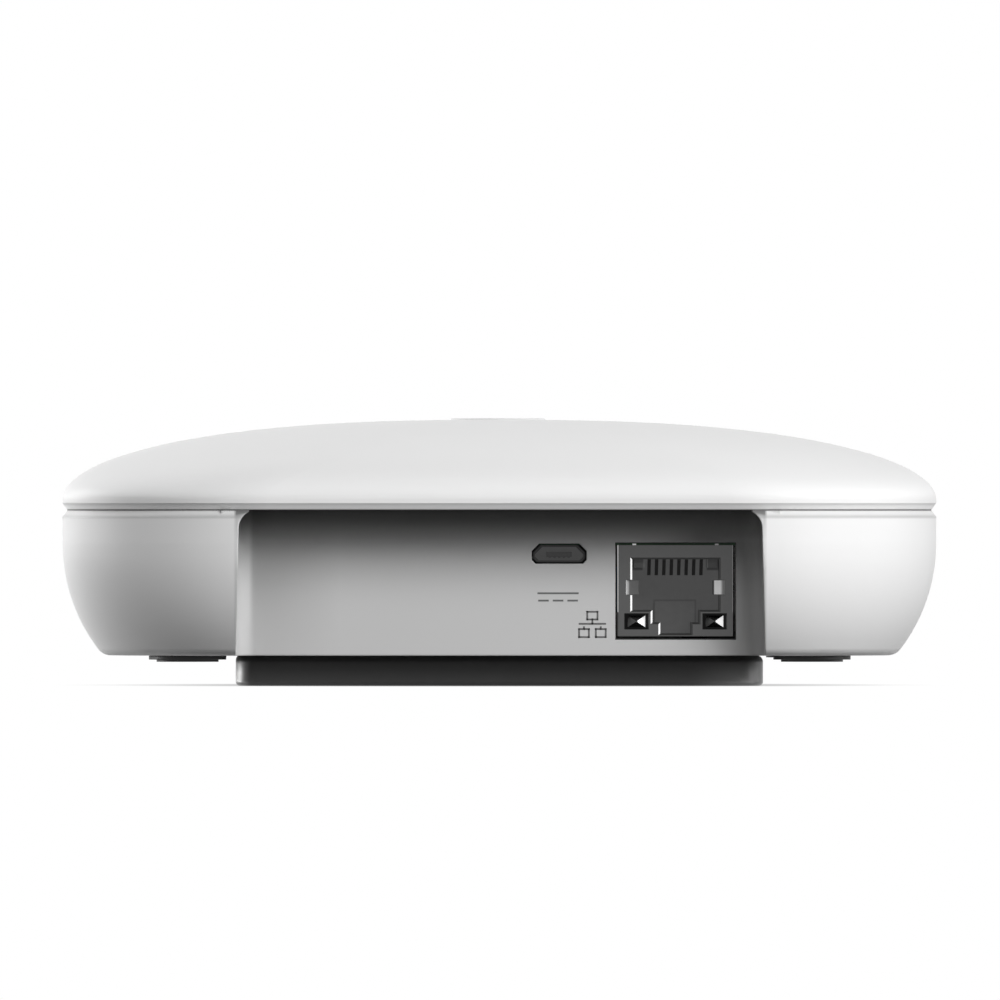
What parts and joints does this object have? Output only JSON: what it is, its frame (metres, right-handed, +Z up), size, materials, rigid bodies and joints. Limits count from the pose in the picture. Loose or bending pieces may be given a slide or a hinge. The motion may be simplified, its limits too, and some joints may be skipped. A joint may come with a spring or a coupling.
{
  "type": "alarm hub",
  "caption": "Low square alarm hub with a domed cover, top button, rear cable recess with network and power sockets, rubber feet and a sliding wall bracket.",
  "frame": {"origin": "middle of the underside of the wall bracket, under the middle of the hub", "axes": "+Z up through the top button, -Y to the rear where the cable sockets are, +X to the right when the sockets are looked at"},
  "size_m": [0.12, 0.12, 0.0368],
  "materials": {
    "white_cover": "satin white moulded plastic",
    "white_casing": "satin white moulded plastic",
    "bracket_plastic": "dark moulded plastic",
    "button_white": "satin white moulded plastic",
    "light_guide": "clouded light guide",
    "circuit_board": "solder mask over glass laminate",
    "screw_steel": "zinc plated",
    "black_plastic": "moulded black",
    "lamp_body": "clear lamp body",
    "foot_rubber": "matt black rubber",
    "socket_shield": "dull plated sheet",
    "socket_plastic": "dark grey nylon",
    "socket_steel": "plated sheet",
    "gold_contact": "gold flash",
    "lamp_lens": "clear moulded lens",
    "shield_tin": "tinned sheet",
    "capacitor_can": "bare can",
    "battery_wrap": "shrink wrap",
    "foam": "closed cell foam",
    "brass_disc": "plain brass"
  },
  "bodies": {
    "hub": {"top_cover": "white_cover", "base_housing": "white_casing", "light_ring": "light_guide", "button_board": "circuit_board", "button_board_screws": "screw_steel", "button_switch_body": "black_plastic", "status_leds": "lamp_body", "board_link_header": "black_plastic", "main_board": "circuit_board", "main_board_screws": "screw_steel", "housing_screws": "screw_steel", "rubber_feet": "foot_rubber", "network_socket_shield": "socket_shield", "network_socket_insert": "socket_plastic", "network_socket_contacts": "gold_contact", "network_socket_springs": "socket_steel", "network_socket_lamps": "lamp_lens", "power_socket_shell": "socket_steel", "power_socket_tongue": "black_plastic", "power_socket_contacts": "gold_contact", "processor_shield": "shield_tin", "processor_chip": "black_plastic", "memory_chip": "black_plastic", "cellular_module": "shield_tin", "radio_module": "shield_tin", "network_transformer": "black_plastic", "power_inductor": "black_plastic", "power_capacitors": "capacitor_can", "left_antenna_board": "circuit_board", "right_antenna_board": "circuit_board", "battery_pack": "battery_wrap", "battery_foam_pads": "foam", "battery_connector": "socket_plastic", "siren_body": "black_plastic", "siren_sounder": "brass_disc", "siren_gasket": "foam", "tamper_switch": "black_plastic", "reset_switch_body": "black_plastic"},
    "button": {"top_button": "button_white", "button_switch_actuator": "black_plastic"},
    "bracket": {"wall_bracket": "bracket_plastic"},
    "tamper": {"tamper_plunger": "black_plastic"},
    "reset": {"reset_switch_actuator": "black_plastic"}
  },
  "joints": [
    {"name": "button_press", "type": "slide", "parent": "hub", "child": "button", "axis": [0, 0, -1], "range_m": [0, 0.0004], "stiffness_N_per_m": 4000, "springref_m": -0.0003},
    {"name": "bracket_slide", "type": "slide", "parent": "hub", "child": "bracket", "axis": [0, 1, 0], "range_m": [0, 0.008]},
    {"name": "tamper_follow", "type": "slide", "parent": "hub", "child": "tamper", "axis": [0, 0, -1], "range_m": [0, 0.001]},
    {"name": "reset_press", "type": "slide", "parent": "hub", "child": "reset", "axis": [0, 0, 1], "range_m": [0, 0.00025], "stiffness_N_per_m": 4000, "springref_m": -0.0003}
  ],
  "couplings": [
    {"joint": "tamper_follow", "follows": "bracket_slide", "ratio": 0.125}
  ]
}
